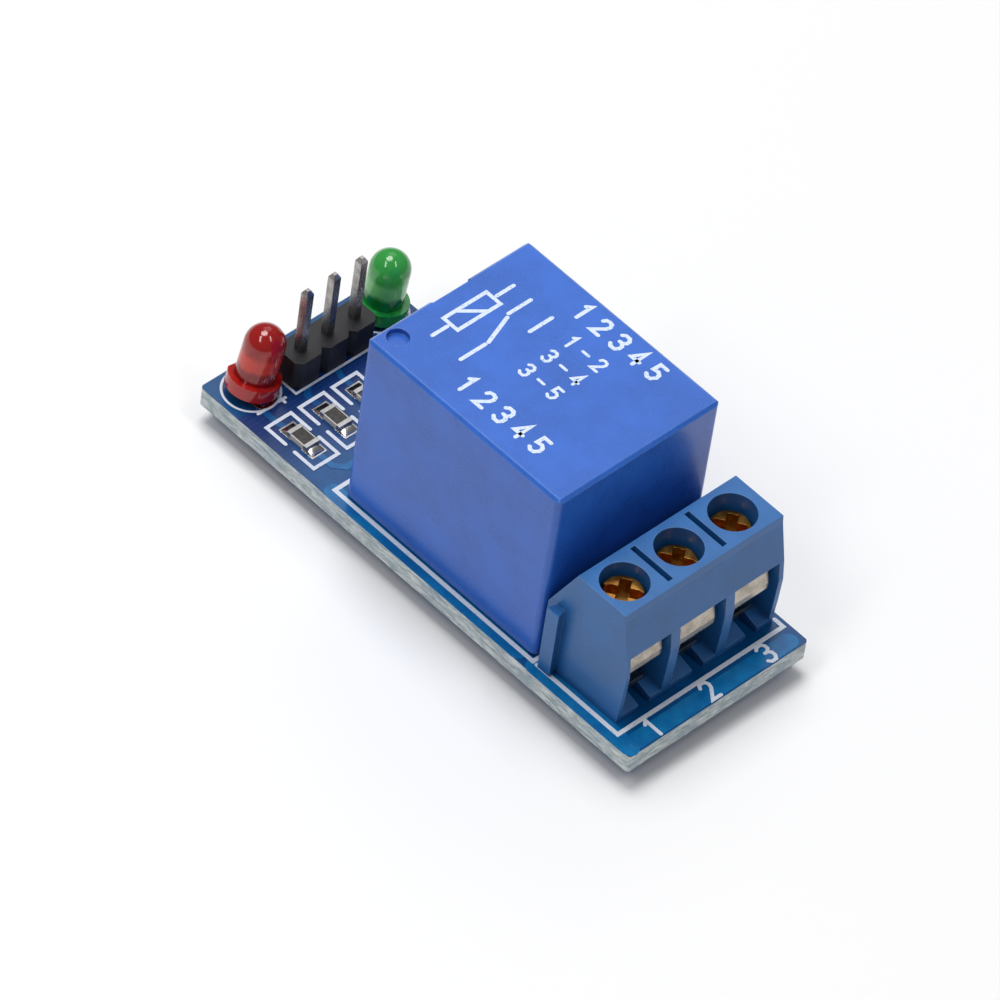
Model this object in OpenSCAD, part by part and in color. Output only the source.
// Single-channel relay module: a 43 x 17 mm circuit board that carries a cased
// power relay, a three-way screw terminal with wire guards, a three-pin header,
// two leaning 3 mm indicator lamps and the small driver parts.
// Lengths are millimetres. X runs from the header end to the terminal end, Y
// runs across the board and Z is up; the cut lead tips stand on z = 0.

/* [Board] */
// length of the board
board_len = 43; // [40:0.5:50]
// width of the board
board_wid = 17; // [16:0.5:24]
// thickness of the board
board_t = 1.6; // [1:0.1:2]
// radius of the board's corners
board_corner = 0.3; // [0.1:0.1:2]
// length of the cut leads under the board
lead_len = 1.5; // [1:0.1:3]

/* [Relay case] */
// middle of the relay along the board
relay_x = 1.575; // [0:0.025:3]
// middle of the relay across the board
relay_y = 0.125; // [-0.5:0.025:0.5]
// length of the case
relay_len = 18.95; // [18.5:0.05:19.5]
// width of the case
relay_wid = 15.15; // [15:0.05:15.6]
// top of the case above the board
relay_h = 15.6; // [15.4:0.1:16.5]
// gap between the case's rim and the board
case_gap = 0.2; // [0.1:0.05:0.5]
// side wall of the case
case_wall = 0.6; // [0.5:0.05:0.8]
// roof of the case
case_roof = 0.8; // [0.7:0.05:1]
// radius of the case's upright corners
case_corner = 0.5; // [0.2:0.1:1]
// bevel round the roof
case_bevel = 0.25; // [0.1:0.05:0.5]
// diameter of the round dish in the roof
dish_d = 1.65; // [1:0.05:2.5]
// depth of the round dish
dish_deep = 0.45; // [0.2:0.05:0.5]

/* [Relay works] */
// how far the armature stands open at rest, in degrees
armature_open = 2.2; // [1.5:0.1:3]
// thickness of the armature and the yoke
iron_t = 1.2; // [1:0.1:1.4]
// half width of the armature and the yoke
iron_half = 3.75; // [3:0.05:4.5]
// radius of the iron core
core_r = 1.5; // [1.2:0.1:2]
// radius of the coil winding
winding_r = 4.6; // [4:0.1:5]
// radius of the contact buttons
button_r = 0.9; // [0.7:0.05:1]

/* [Terminal block] */
// back face of the housing
term_back = 11.15; // [11.1:0.05:11.5]
// near side of the housing
term_y0 = -7.1; // [-7.5:0.05:-7]
// far side of the housing
term_y1 = 7.75; // [7.5:0.05:8]
// height of the housing above the board
term_h = 10.15; // [9.5:0.05:11]
// spacing of the poles
pole_pitch = 5.08; // [5:0.08:5.08]
// middle pole across the board
pole_mid = 0.13; // [0:0.01:0.3]
// screw line along the board
screw_x = 15.64; // [15:0.02:16]
// diameter of the screwdriver wells
well_d = 3.5; // [3.3:0.1:3.8]
// diameter of the screws
screw_d = 2.9; // [2.5:0.1:3]
// depth of the screw tops below the housing's top
screw_deep = 1.4; // [1:0.1:2]
// top edge of the wire openings
opening_top = 6.3; // [6:0.1:6.5]
// how much higher the first screw and its guard stand
backed_off = 0.4; // [0:0.1:0.4]
// width of the wire guards
guard_wid = 3.44; // [3:0.02:3.5]
// underside of the wire guards' clamping plate
guard_low = 3.5; // [3.4:0.1:3.6]

/* [Header and lamps] */
// header row along the board
header_x = -18.3; // [-19:0.1:-18]
// middle header pin across the board
header_y = 0.2; // [-0.5:0.1:0.5]
// spacing of the header pins
header_pitch = 2.54; // [2.54:0.01:2.54]
// pin tips above the board
pin_top = 8.4; // [8:0.1:11.5]
// lamp line along the board
lamp_x = -19.1; // [-19.4:0.1:-18.8]
// distance of each lamp from the middle of the header
lamp_out = 6.15; // [6:0.05:6.3]
// lean of the red lamp towards the header, in degrees
red_lean = 12.5; // [0:0.5:15]
// lean of the green lamp away from the header, in degrees
green_lean = 7; // [0:0.5:10]

/* [Hidden] */
$fn = 36;

top = lead_len + board_t;          // board's top face
lead_tip = -top;                   // lead tips, measured from the board's top
eps = 0.5;                         // overshoot of cutting shapes

// relay works, measured from the middle of the relay and the board's top
in_len = relay_len - 2 * case_wall;
in_wid = relay_wid - 2 * case_wall;
base_low = 0.5;
base_top = 2;
flange_t = 0.8;
bobbin_low = base_top + iron_t;
bobbin_top = 10.2;
pole_face = 11;
yoke_back = -7.9;
hinge_z = pole_face + 0.04;
leaf_low = hinge_z + iron_t;
leaf_t = 0.2;
coil_x = -0.9;
coil_pin = [-5.1, 6, 0.6];
common_pin = [-7.1, 0, 0.6, 1];
blade_pin = [7.1, 6, 0.4, 1.2];
contact_x = 7;
button_t = 0.45;
fixed_t = 0.4;
disc_t = 0.4;
open_arm = 10.99;
closed_arm = 13.95;
shank_r = 0.5;

// terminal block, measured from the board's top
cavity_back = 13.2;
cavity_top = 7.2;
panel_in = 18.25;
floor_back = 0.85;
floor_front = 0.45;
floor_break = 17.45;
opening = [[-6.75, -2.92], [-2.07, 2.23], [3.08, 7.33]];
term_profile = [[term_back, 0], [18.68, 0], [18.85, 2.5], [18.95, 4.6],
                [18.75, opening_top], [18.05, 9.5], [17.97, term_h],
                [13.35, term_h], [term_back, 5.8]];
post_pin = [14.6, 0, 0.8, 1];
plate_t = 0.4;
recess_deep = 0.9;
recess_turn = 35;
slot_wid = 0.65;
cross_wid = 0.85;
cross_len = 2.3;
guard_top = cavity_top - backed_off - 0.1;
pilot_r = 0.7;
play = 0.05;

// lamps and driver parts
lens_r = 1.5;
lens_flange_r = 1.95;
lens_flange_t = 1;
lens_h = 5.3;
lamp_wire = 0.5;
lamp_pitch = 2.54;
red_lift = lens_flange_r * sin(red_lean) + 0.03;
green_lift = lens_flange_r * sin(green_lean) + 0.03;
resistor_x = -13.4;
resistor_y = [-6.3, -3.2, -0.1];

// hole radius of each lead family
coil_hole = 0.55;
blade_hole = 0.75;
post_hole = 0.75;
header_hole = 0.55;
lamp_hole = 0.45;

function pole_y(i) = pole_mid + (i - 2) * pole_pitch;
function pin_y(i) = header_y + (i - 2) * header_pitch;
function red_y() = header_y - lamp_out;
function green_y() = header_y + lamp_out - 0.1;
function lift(i) = i == 1 ? backed_off : 0;

// every plated hole: place along, place across, radius
HOLES = concat(
    [for (s = [-1, 1]) [relay_x + coil_pin[0], relay_y + s * coil_pin[1], coil_hole]],
    [[relay_x + common_pin[0], relay_y, blade_hole]],
    [for (s = [-1, 1]) [relay_x + blade_pin[0], relay_y + s * blade_pin[1], blade_hole]],
    [for (i = [1:3]) [post_pin[0], pole_y(i), post_hole]],
    [for (i = [1:3]) [header_x, pin_y(i), header_hole]],
    [for (s = [-1, 1]) [lamp_x + s * lamp_pitch / 2, red_y(), lamp_hole]],
    [for (s = [-1, 1]) [lamp_x + s * lamp_pitch / 2, green_y(), lamp_hole]]);

module on_board() {
    translate([0, 0, top]) children();
}

module at_relay() {
    translate([relay_x, relay_y, top]) children();
}

// a profile drawn in X and Z, swept from y0 to y1
module along_y(y0, y1) {
    translate([0, y1, 0]) rotate([90, 0, 0]) linear_extrude(y1 - y0) children();
}

// a profile drawn in Y and Z, swept from x0 to x1
module along_x(x0, x1) {
    translate([x0, 0, 0]) rotate([90, 0, 90]) linear_extrude(x1 - x0) children();
}

module rounded_rect(l, w, r) {
    square([l - 2 * r, w], center = true);
    square([l, w - 2 * r], center = true);
    for (sx = [-1, 1], sy = [-1, 1])
        translate([sx * (l / 2 - r), sy * (w / 2 - r)]) circle(r = r);
}

// an upright bar centred on x and y
module bar(x, y, z0, z1, l, w) {
    translate([x - l / 2, y - w / 2, z0]) cube([l, w, z1 - z0]);
}

module circuit_board() {
    color("navy")
        difference() {
            translate([0, 0, lead_len])
                linear_extrude(board_t) rounded_rect(board_len, board_wid, board_corner);
            for (h = HOLES)
                translate([h[0], h[1], lead_len - eps])
                    cylinder(r = h[2], h = board_t + 2 * eps);
        }
}

// ---- relay ----

module bevelled(w) {
    polygon([[-w / 2, case_gap], [w / 2, case_gap], [w / 2, relay_h - case_bevel],
             [w / 2 - case_bevel, relay_h], [case_bevel - w / 2, relay_h],
             [-w / 2, relay_h - case_bevel]]);
}

module relay_cover() {
    color("royalblue")
        at_relay()
        difference() {
            intersection() {
                translate([0, 0, case_gap])
                    linear_extrude(relay_h - case_gap)
                        rounded_rect(relay_len, relay_wid, case_corner);
                along_y(-relay_wid, relay_wid) bevelled(relay_len);
                along_x(-relay_len, relay_len) bevelled(relay_wid);
            }
            bar(0, 0, case_gap - eps, relay_h - case_roof, in_len, in_wid);
            // dish with the sealed vent in it
            translate([-8.275, -5.775, relay_h - dish_deep])
                cylinder(d = dish_d, h = dish_deep + eps);
            translate([-7.9, -6.2, relay_h - dish_deep - 0.2])
                cylinder(d = 0.35, h = 1, $fn = 20);
            // shallow relief where the mould gate is
            translate([-relay_len / 2 - eps, -1.7, relay_h - 1.7])
                cube([eps + 0.3, 3.6, 1.7 + eps]);
        }
}

module relay_base() {
    color("dimgray")
        at_relay()
        difference() {
            union() {
                bar(0, 0, base_low, base_top, in_len, in_wid);
                for (p = [[-8.1, -5.4], [-8.1, 5.4], [8.1, -3.4], [8.1, 3.4]])
                    translate([p[0], p[1], 0]) cylinder(r = 0.6, h = base_low);
            }
            for (s = [-1, 1]) {
                bar(coil_pin[0], s * coil_pin[1], 0, 3, coil_pin[2], coil_pin[2]);
                bar(blade_pin[0], s * blade_pin[1], 0, 3, blade_pin[2], blade_pin[3]);
            }
            bar(common_pin[0], common_pin[1], 0, 3, common_pin[2], common_pin[3]);
        }
}

module coil_bobbin() {
    color("ivory")
        at_relay() translate([coil_x, 0, 0])
        difference() {
            union() {
                bar(0, 0, bobbin_low, bobbin_low + flange_t, 10.8, 10.8);
                bar(0, 0, bobbin_top - flange_t, bobbin_top, 10.8, 10.8);
                translate([0, 0, bobbin_low])
                    cylinder(r = core_r + 0.6, h = bobbin_top - bobbin_low);
            }
            translate([0, 0, bobbin_low - eps])
                cylinder(r = core_r, h = bobbin_top - bobbin_low + 2 * eps);
            // the wire leaves the spool through two notches
            for (s = [-1, 1])
                bar(-4.2, s * 5.4, 0, bobbin_low + flange_t + eps, 0.8, 1.6);
        }
}

module coil_winding() {
    color("chocolate")
        at_relay() translate([coil_x, 0, bobbin_low + flange_t])
        difference() {
            cylinder(r = winding_r, h = bobbin_top - bobbin_low - 2 * flange_t, $fn = 48);
            translate([0, 0, -eps]) cylinder(r = core_r + 0.6, h = 10);
        }
}

module iron_core() {
    color("silver")
        at_relay() translate([coil_x, 0, 0]) {
            translate([0, 0, base_top]) cylinder(r = core_r, h = bobbin_top - base_top);
            translate([0, 0, bobbin_top]) cylinder(r = 2.8, h = pole_face - bobbin_top);
        }
}

module yoke() {
    inner = yoke_back + iron_t;
    color("silver")
        at_relay()
        difference() {
            union() {
                along_y(-iron_half, iron_half) {
                    translate([yoke_back, bobbin_low])
                        square([iron_t, pole_face - bobbin_low]);
                    translate([inner, base_top]) square([2.6 - inner, iron_t]);
                    intersection() {
                        translate([inner, bobbin_low]) circle(r = iron_t);
                        translate([yoke_back, base_top]) square(iron_t);
                    }
                }
                // two ears hold the armature sideways
                for (s = [-1, 1])
                    bar(yoke_back + iron_t / 2, s * (iron_half - 0.275),
                        pole_face - eps, pole_face + 0.9, iron_t, 0.55);
                // tail that goes through the board
                bar(common_pin[0], 0, lead_tip, bobbin_low, common_pin[2], common_pin[3]);
            }
            translate([coil_x, 0, 0]) cylinder(r = core_r, h = bobbin_low + eps);
        }
}

// leaf on the yoke's back that pushes the armature open
module hinge_spring() {
    color("goldenrod")
        at_relay()
        along_y(-2, 2)
            polygon([[-7.9, 5], [-8.1, 5], [-8.1, 10.6], [-8.35, 11], [-8.35, 12.6],
                     [-8.15, 12.9], [-7, 12.9], [-7, 12.7], [-8.05, 12.7],
                     [-8.15, 12.55], [-8.15, 11.05], [-7.9, 10.65]]);
}

// tilts the moving iron open about the yoke's top back edge
module opened() {
    at_relay()
        translate([yoke_back, 0, hinge_z]) rotate([0, -armature_open, 0])
        translate([-yoke_back, 0, -hinge_z]) children();
}

module armature() {
    color("silver")
        opened() {
            difference() {
                translate([yoke_back, -iron_half, hinge_z])
                    cube([3 - yoke_back, 2 * iron_half, iron_t]);
                for (s = [-1, 1])
                    bar(yoke_back, s * (iron_half + 0.15), hinge_z - eps,
                        leaf_low + eps, 2.7, 1.6);
            }
            for (x = [-3, 1])
                translate([x, 0, leaf_low - 0.1]) cylinder(r = shank_r, h = 0.45);
        }
}

module contact_spring() {
    color("goldenrod")
        opened()
        translate([0, 0, leaf_low])
        linear_extrude(leaf_t)
        difference() {
            polygon([[-7.5, -2.2], [3.4, -2.2], [5, -1.3], [8.05, -1.3],
                     [8.05, 1.3], [5, 1.3], [3.4, 2.2], [-7.5, 2.2]]);
            for (x = [-3, 1, contact_x])
                translate([x, 0]) circle(r = shank_r);
        }
}

module moving_contact() {
    color("gainsboro")
        opened()
        translate([contact_x, 0, leaf_low]) {
            translate([0, 0, -button_t]) cylinder(r = button_r, h = button_t);
            cylinder(r = shank_r, h = leaf_t);
            translate([0, 0, leaf_t]) cylinder(r = button_r, h = button_t);
        }
}

// side: -1 near, 1 far; arm: underside of the level arm
module fixed_blade(side, arm) {
    at_relay()
    difference() {
        union() {
            bar(blade_pin[0], side * blade_pin[1], lead_tip, arm + fixed_t,
                blade_pin[2], blade_pin[3]);
            bar(contact_x + 0.05, side * 2.75, arm, arm + fixed_t, 2.1, 7.7);
        }
        translate([contact_x, 0, arm - eps]) cylinder(r = shank_r, h = fixed_t + 2 * eps);
    }
}

// arm: underside of the blade; disc and head: undersides of the rivet's two ends
module fixed_button(arm, disc, head) {
    color("gainsboro")
        at_relay() translate([contact_x, 0, 0]) {
            translate([0, 0, arm]) cylinder(r = shank_r, h = fixed_t);
            translate([0, 0, disc]) cylinder(r = 0.95, h = disc_t);
            translate([0, 0, head]) cylinder(r = 0.75, h = 0.2);
        }
}

module open_contact_blade() {
    color("peru") fixed_blade(-1, open_arm);
}

module open_contact_button() {
    fixed_button(open_arm, open_arm + fixed_t, open_arm - 0.2);
}

module closed_contact_blade() {
    color("peru") fixed_blade(1, closed_arm);
}

module closed_contact_button() {
    fixed_button(closed_arm, closed_arm - disc_t, closed_arm + fixed_t);
}

module coil_lead(s) {
    color("silver")
        at_relay()
        bar(coil_pin[0], s * coil_pin[1], lead_tip, 5.2, coil_pin[2], coil_pin[2]);
}
module coil_pin_1() { coil_lead(-1); }
module coil_pin_2() { coil_lead(1); }

// ---- terminal block ----

// dovetail that joins blocks side by side; g: room added all round
module dovetail(y_root, g) {
    out = -0.75 - g;
    translate([0, y_root, -g])
        linear_extrude(6.1 + 2 * g)
            polygon([[11.95 - g, 0.2], [12.7 + g, 0.2], [12.7 + g, 0],
                     [12.9 + g, out], [11.75 - g, out], [11.95 - g, 0]]);
}

module pole_cavity(i) {
    y0 = opening[i - 1][0];
    y1 = opening[i - 1][1];
    c = pole_y(i);
    along_y(y0, y1)
        polygon([[cavity_back, floor_back], [floor_break, floor_back],
                 [18.7, floor_front], [20, floor_front], [20, opening_top],
                 [panel_in, opening_top], [panel_in, cavity_top],
                 [cavity_back, cavity_top]]);
    translate([screw_x, c, cavity_top - eps]) cylinder(d = well_d, h = 4, $fn = 48);
    // open slot in the sill
    translate([16.95, c - 0.1, -eps]) cube([3, 1.1, 2]);
    bar(post_pin[0], c, -eps, 2, post_pin[2], post_pin[3]);
}

module terminal_housing() {
    color("steelblue")
        on_board()
        difference() {
            union() {
                along_y(term_y0, term_y1) polygon(term_profile);
                dovetail(term_y0, 0);
            }
            dovetail(term_y1, play);
            for (i = [1:3]) pole_cavity(i);
            // marking grooves between the wells
            for (i = [1, 2])
                translate([13.72, pole_y(i) + pole_pitch / 2 - 0.2, term_h - 2])
                    cube([3.73, 0.45, 3]);
        }
}

// clamping screw: fixed guard end below, driving recess above
module screw(i) {
    low = guard_low + lift(i);
    head = term_h - screw_deep + lift(i);
    color("darkgoldenrod")
        translate([screw_x, pole_y(i), top])
        difference() {
            union() {
                translate([0, 0, low + plate_t + play])
                    cylinder(d = screw_d, h = head - low - plate_t - play);
                translate([0, 0, low - play - 0.1])
                    cylinder(r = pilot_r, h = plate_t + 0.3, $fn = 24);
                translate([0, 0, low - play - 0.25]) cylinder(r = 1.1, h = 0.25);
            }
            rotate([0, 0, recess_turn]) {
                bar(0, 0, head - recess_deep, head + eps, screw_d + 1, slot_wid);
                for (a = [0, 90])
                    rotate([0, 0, a])
                        bar(0, 0, head - recess_deep, head + eps, cross_len, cross_wid);
            }
        }
}
module terminal_screw_1() { screw(1); }
module terminal_screw_2() { screw(2); }
module terminal_screw_3() { screw(3); }

// bent leaf that the screw carries down on to the wire
module guard(i) {
    half = guard_wid / 2;
    color("silver")
        translate([0, pole_y(i), top + lift(i)]) {
            difference() {
                translate([14.3, -1.5, guard_low]) cube([3.85, 3, plate_t]);
                translate([screw_x, 0, guard_low - eps])
                    cylinder(r = pilot_r + play, h = 2, $fn = 24);
            }
            intersection() {
                along_y(-half, half)
                    polygon([[17.95, guard_low], [18.22, guard_low], [18.36, 3.62],
                             [18.42, 3.82], [18.4, 4.3], [18.08, 6.2], [18, guard_top],
                             [17.65, guard_top], [17.73, 6.2], [18.04, 4.3],
                             [18.05, 3.95], [17.95, 3.9]]);
                along_x(17, 19)
                    translate([0, 5.5])
                        rounded_rect(guard_wid, 4, 0.7);
            }
        }
}
module wire_guard_1() { guard(1); }
module wire_guard_2() { guard(2); }
module wire_guard_3() { guard(3); }

// conductor frame: tapped plate, back, contact floor and board pin
module post(i) {
    color("gainsboro")
        translate([0, pole_y(i), top])
        difference() {
            union() {
                translate([cavity_back, -1.6, 4.35]) cube([4.1, 3.2, 1]);
                translate([cavity_back, -1.6, floor_back]) cube([0.8, 3.2, 4]);
                translate([cavity_back, -1.5, floor_back]) cube([4.2, 3, 0.45]);
                bar(post_pin[0], 0, lead_tip, 1, post_pin[2], post_pin[3]);
            }
            translate([screw_x, 0, 3]) cylinder(d = screw_d + 2 * play, h = 4);
        }
}
module terminal_post_1() { post(1); }
module terminal_post_2() { post(2); }
module terminal_post_3() { post(3); }

// ---- pin header ----

module header_housing() {
    p = header_pitch / 2;
    c = 0.45;
    color("black")
        on_board()
        difference() {
            for (i = [1:3])
                translate([header_x, pin_y(i), 0])
                    linear_extrude(header_pitch)
                        polygon([[-p, c - p], [c - p, -p], [p - c, -p], [p, c - p],
                                 [p, p - c], [p - c, p], [c - p, p], [-p, p - c]]);
            for (i = [1:3])
                bar(header_x, pin_y(i), -eps, header_pitch + eps, 0.64, 0.64);
        }
}

module tapered(h) {
    w = 0.32;
    polygon([[-0.14, lead_tip], [0.14, lead_tip], [w, lead_tip + 0.35],
             [w, h - 0.35], [0.14, h], [-0.14, h], [-w, h - 0.35],
             [-w, lead_tip + 0.35]]);
}

module header_pin(i) {
    color("gainsboro")
        translate([header_x, pin_y(i), top])
        intersection() {
            along_x(-1, 1) tapered(pin_top);
            along_y(-1, 1) tapered(pin_top);
        }
}
module header_pin_1() { header_pin(1); }
module header_pin_2() { header_pin(2); }
module header_pin_3() { header_pin(3); }

// ---- indicator lamps ----

module leaning(y, lift, lean) {
    translate([lamp_x, y, top + lift]) rotate([-lean, 0, 0]) children();
}

module anode_frame() {
    polygon([[1.02, -0.3], [1.52, -0.3], [1.52, 0.5], [1.2, 0.9], [1.2, 2.2],
             [0.95, 2.7], [0.6, 2.7], [0.6, 2.3], [0.75, 2.1], [0.75, 0.9],
             [1.02, 0.5]]);
}

module cathode_frame() {
    polygon([[-1.52, -0.3], [-1.02, -0.3], [-1.02, 0.5], [-0.7, 0.9], [-0.35, 1.2],
             [-0.15, 1.7], [0.35, 1.9], [0.35, 2.6], [-0.9, 2.6], [-1.2, 1.9],
             [-1.2, 0.9], [-1.52, 0.5]]);
}

module lens(y, lift, lean) {
    w = lamp_wire / 2;
    leaning(y, lift, lean)
        difference() {
            rotate_extrude($fn = 40) {
                square([lens_flange_r, lens_flange_t]);
                square([lens_r, lens_h - lens_r]);
                intersection() {
                    translate([0, lens_h - lens_r]) circle(r = lens_r, $fn = 40);
                    translate([0, lens_h - lens_r - 0.1]) square(lens_r + 1);
                }
            }
            // flat that marks the cathode
            translate([-3 - lens_r - 0.1, -3, -eps]) cube([3, 6, lens_flange_t + 2 * eps]);
            along_y(-w, w) anode_frame();
            along_y(-w, w) cathode_frame();
        }
}

// s: -1 the cathode's side, 1 the anode's
module lamp_lead(y, lift, lean, s) {
    w = lamp_wire / 2;
    leaning(y, lift, lean)
        along_y(-w, w) {
            if (s > 0) anode_frame();
            else cathode_frame();
        }
    translate([0, 0, top])
        bar(lamp_x + s * lamp_pitch / 2, y, lead_tip, lift - 0.15, lamp_wire, lamp_wire);
}

module red_lamp_lens() { color("red") lens(red_y(), red_lift, red_lean); }
module red_lamp_anode() { color("silver") lamp_lead(red_y(), red_lift, red_lean, 1); }
module red_lamp_cathode() { color("silver") lamp_lead(red_y(), red_lift, red_lean, -1); }
module green_lamp_lens() { color("limegreen") lens(green_y(), green_lift, green_lean); }
module green_lamp_anode() {
    color("silver") lamp_lead(green_y(), green_lift, green_lean, 1);
}
module green_lamp_cathode() {
    color("silver") lamp_lead(green_y(), green_lift, green_lean, -1);
}

// ---- surface-mounted parts ----

module chip_resistor(i) {
    color("dimgray")
        on_board() {
            bar(resistor_x, resistor_y[i - 1], 0, 0.45, 1.4, 1.2);
            for (s = [-1, 1])
                bar(resistor_x + s * 0.825, resistor_y[i - 1], 0, 0.5, 0.35, 1.25);
        }
}
module resistor_1() { chip_resistor(1); }
module resistor_2() { chip_resistor(2); }
module resistor_3() { chip_resistor(3); }

// bent foot of a small package, drawn outwards from the body
module foot(out, w, t) {
    along_x(-w / 2, w / 2)
        polygon([[0, 0.45], [0.25 * out, 0.45], [0.5 * out, 0], [out, 0],
                 [out, t], [0.62 * out, t], [0.37 * out, 0.45 + t], [0, 0.45 + t]]);
}

module transistor() {
    color("dimgray")
        translate([-12.2, 3.3, top]) {
            bar(0, 0, 0.08, 1, 2.9, 1.3);
            translate([0, 0.6, 0]) foot(0.65, 0.42, 0.15);
            for (s = [-1, 1])
                translate([s * 0.95, -0.6, 0]) rotate([0, 0, 180]) foot(0.65, 0.42, 0.15);
        }
}

module diode() {
    color("dimgray")
        translate([-12.2, 6.6, top]) {
            bar(0, 0, 0.1, 2.2, 4.3, 2.6);
            for (s = [-1, 1]) {
                bar(s * 2.1, 0, 0, 0.2, 1, 1.4);
                bar(s * 2.3, 0, 0, 1.2, 0.4, 1.4);
            }
        }
}

// ---- solder joints ----

// hole: radius of the plated hole; pad: radius of the land; l, w: the lead
module joint(x, y, hole, pad, l, w) {
    color("lightgray")
        difference() {
            translate([x, y, 0])
                rotate_extrude($fn = 28)
                    polygon([[0, 0.5], [0.72 * hole, 0.5], [0.8 * hole, 0.75],
                             [1.05 * hole, 1.1], [0.86 * pad, 1.36], [pad, lead_len],
                             [hole, lead_len], [hole, top - 0.1], [0, top - 0.1]]);
            bar(x, y, -eps, top + eps, l, w);
        }
}

module relay_joint(p, s, hole, l, w) {
    joint(relay_x + p[0], relay_y + s * p[1], hole, 1.25, l, w);
}

module solder_coil_1() { relay_joint(coil_pin, -1, coil_hole, 0.6, 0.6); }
module solder_coil_2() { relay_joint(coil_pin, 1, coil_hole, 0.6, 0.6); }
module solder_common() { relay_joint(common_pin, 1, blade_hole, 0.6, 1); }
module solder_open_contact() { relay_joint(blade_pin, -1, blade_hole, 0.4, 1.2); }
module solder_closed_contact() { relay_joint(blade_pin, 1, blade_hole, 0.4, 1.2); }

module post_joint(i) { joint(post_pin[0], pole_y(i), post_hole, 1.35, 0.8, 1); }
module solder_terminal_1() { post_joint(1); }
module solder_terminal_2() { post_joint(2); }
module solder_terminal_3() { post_joint(3); }

module pin_joint(i) { joint(header_x, pin_y(i), header_hole, 0.85, 0.64, 0.64); }
module solder_header_1() { pin_joint(1); }
module solder_header_2() { pin_joint(2); }
module solder_header_3() { pin_joint(3); }

module lamp_joint(y, s) {
    joint(lamp_x + s * lamp_pitch / 2, y, lamp_hole, 0.85, lamp_wire, lamp_wire);
}
module solder_red_1() { lamp_joint(red_y(), -1); }
module solder_red_2() { lamp_joint(red_y(), 1); }
module solder_green_1() { lamp_joint(green_y(), -1); }
module solder_green_2() { lamp_joint(green_y(), 1); }

circuit_board();
relay_cover();
relay_base();
coil_bobbin();
coil_winding();
iron_core();
yoke();
hinge_spring();
armature();
contact_spring();
moving_contact();
open_contact_blade();
open_contact_button();
closed_contact_blade();
closed_contact_button();
coil_pin_1();
coil_pin_2();
terminal_housing();
terminal_screw_1();
terminal_screw_2();
terminal_screw_3();
wire_guard_1();
wire_guard_2();
wire_guard_3();
terminal_post_1();
terminal_post_2();
terminal_post_3();
header_housing();
header_pin_1();
header_pin_2();
header_pin_3();
red_lamp_lens();
red_lamp_anode();
red_lamp_cathode();
green_lamp_lens();
green_lamp_anode();
green_lamp_cathode();
resistor_1();
resistor_2();
resistor_3();
transistor();
diode();
solder_coil_1();
solder_coil_2();
solder_common();
solder_open_contact();
solder_closed_contact();
solder_terminal_1();
solder_terminal_2();
solder_terminal_3();
solder_header_1();
solder_header_2();
solder_header_3();
solder_red_1();
solder_red_2();
solder_green_1();
solder_green_2();
